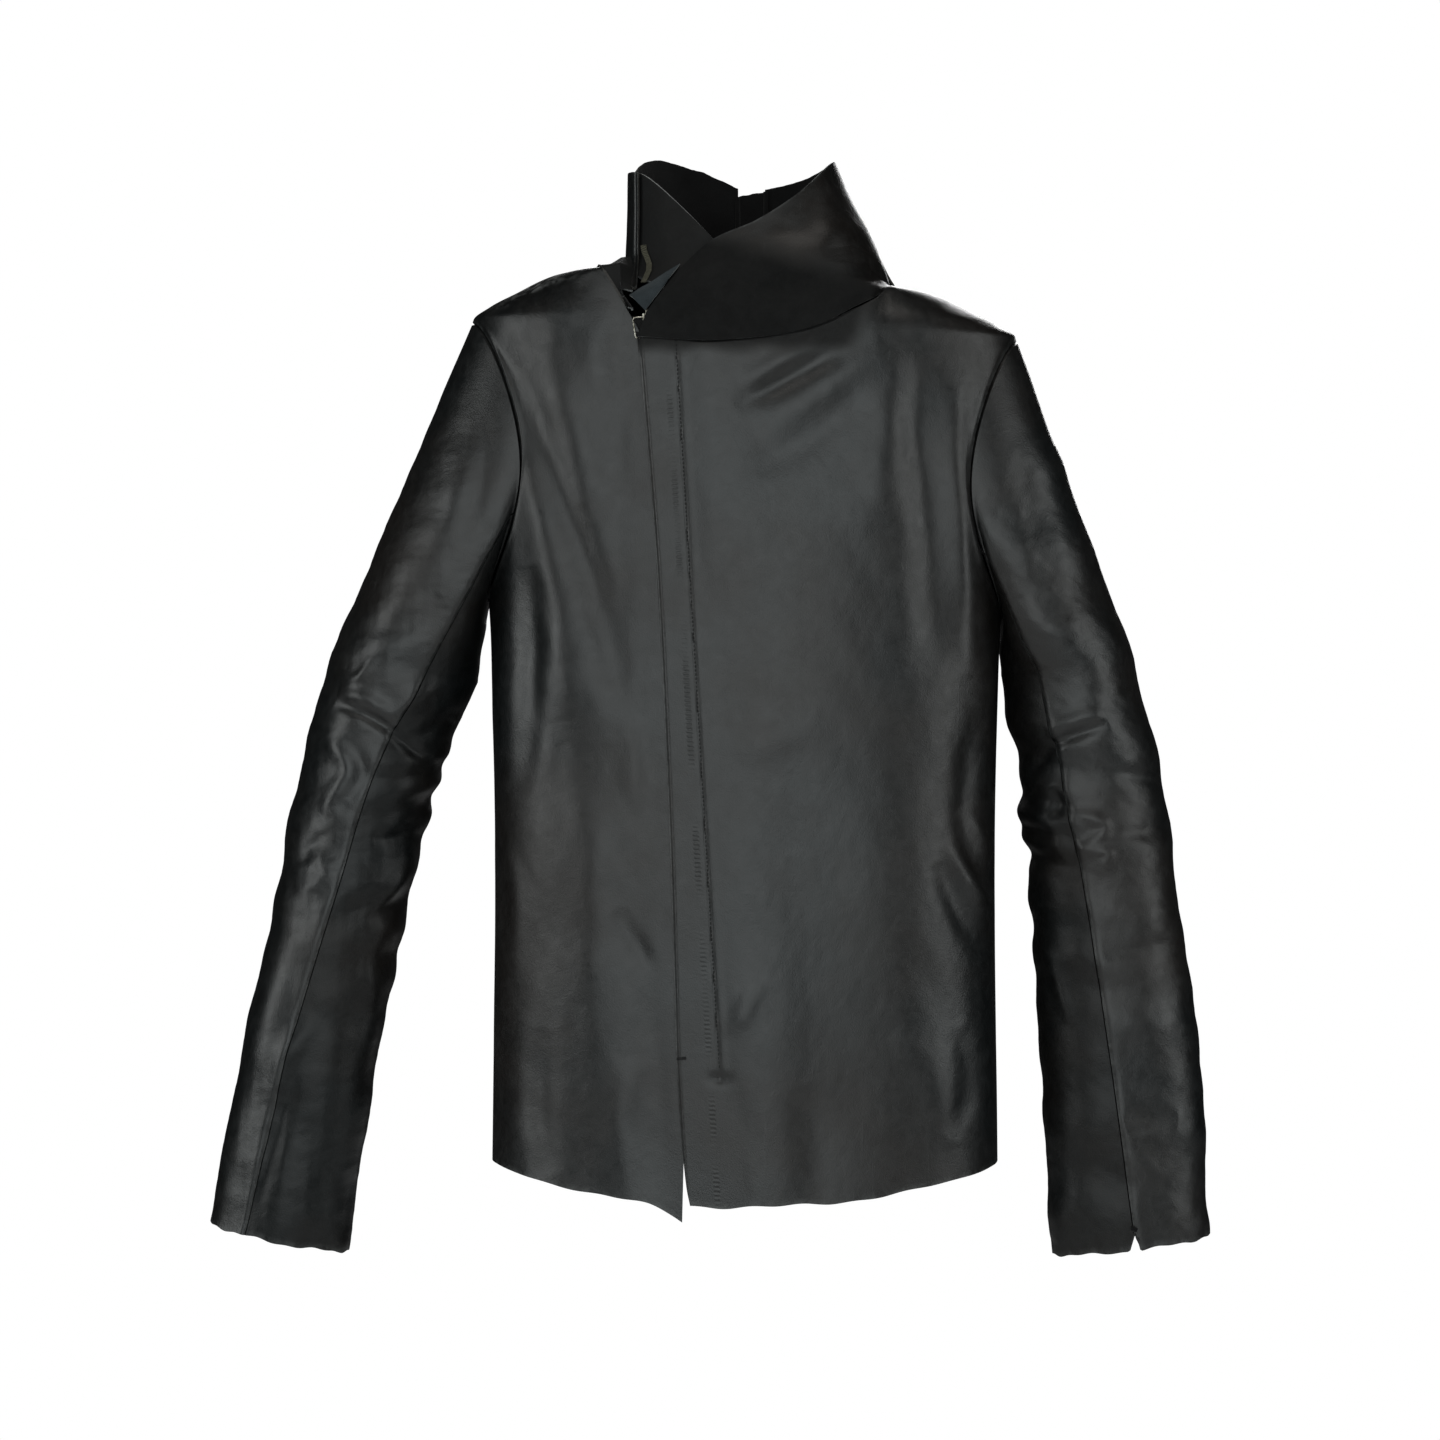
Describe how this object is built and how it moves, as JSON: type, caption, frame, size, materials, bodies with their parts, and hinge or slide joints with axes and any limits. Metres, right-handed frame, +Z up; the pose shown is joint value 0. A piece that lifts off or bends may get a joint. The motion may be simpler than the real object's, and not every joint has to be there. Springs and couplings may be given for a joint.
{
  "type": "leather welding jacket",
  "caption": "Slim black leather jacket with a high asymmetric funnel collar, an off-centre concealed zip under a placket and raw-cut hem and cuffs; sleeves lift and the zip runs.",
  "frame": {"origin": "middle of the neck base, level with the shoulders at the neck, midway between front and back", "axes": "+Z up the wearer's spine, +X towards the wearer's left, -Y out of the front"},
  "size_m": [0.7597, 0.2182, 0.8349],
  "materials": {
    "black_leather": "satin, fine grain",
    "black_suede": "matte flesh side",
    "slate_suede": "matte flesh side",
    "thread": "twisted thread",
    "zip_tape": "woven",
    "khaki_tape": "woven",
    "zip_coil": "matte",
    "zip_metal": "worn"
  },
  "bodies": {
    "jacket_body": {"left_front_panel": "black_leather", "right_front_panel": "black_leather", "left_back_panel": "black_leather", "right_back_panel": "black_leather", "collar_left_front": "black_leather", "collar_fold_strip": "black_leather", "neck_gusset": "black_leather", "placket_facing": "black_leather", "collar_right_stand": "black_suede", "collar_back_left": "black_suede", "collar_back_strip": "black_suede", "collar_back_right": "black_suede", "zip_guard": "black_suede", "collar_corner_flap": "slate_suede", "zip_bartack": "thread", "zip_tape_left": "zip_tape", "zip_tape_right": "zip_tape", "zip_tape_end": "khaki_tape", "zip_coil_left": "zip_coil", "zip_coil_right": "zip_coil", "zip_top_stop_left": "zip_metal", "zip_top_stop_right": "zip_metal", "zip_bottom_stop": "zip_metal"},
    "left_sleeve": {"left_top_sleeve": "black_leather", "left_under_sleeve": "black_leather"},
    "right_sleeve": {"right_top_sleeve": "black_leather", "right_under_sleeve": "black_leather"},
    "zip_slider": {"zip_slider": "zip_metal"},
    "zip_pull": {"zip_pull_ring": "zip_metal"}
  },
  "joints": [
    {"name": "left_sleeve_lift", "type": "hinge", "parent": "jacket_body", "child": "left_sleeve", "pos_m": [0.207, 0, -0.042], "axis": [0, -1, 0], "range_deg": [0, 45]},
    {"name": "right_sleeve_lift", "type": "hinge", "parent": "jacket_body", "child": "right_sleeve", "pos_m": [-0.207, 0, -0.028], "axis": [0, 1, 0], "range_deg": [0, 45]},
    {"name": "zip_run", "type": "slide", "parent": "jacket_body", "child": "zip_slider", "axis": [0.0598, -0.0222, -0.998], "range_m": [0, 0.52]},
    {"name": "pull_swing", "type": "hinge", "parent": "zip_slider", "child": "zip_pull", "pos_m": [-0.07558, -0.08532, -0.03235], "axis": [0.0709, 0.9973, -0.018], "range_deg": [0, 30]}
  ]
}
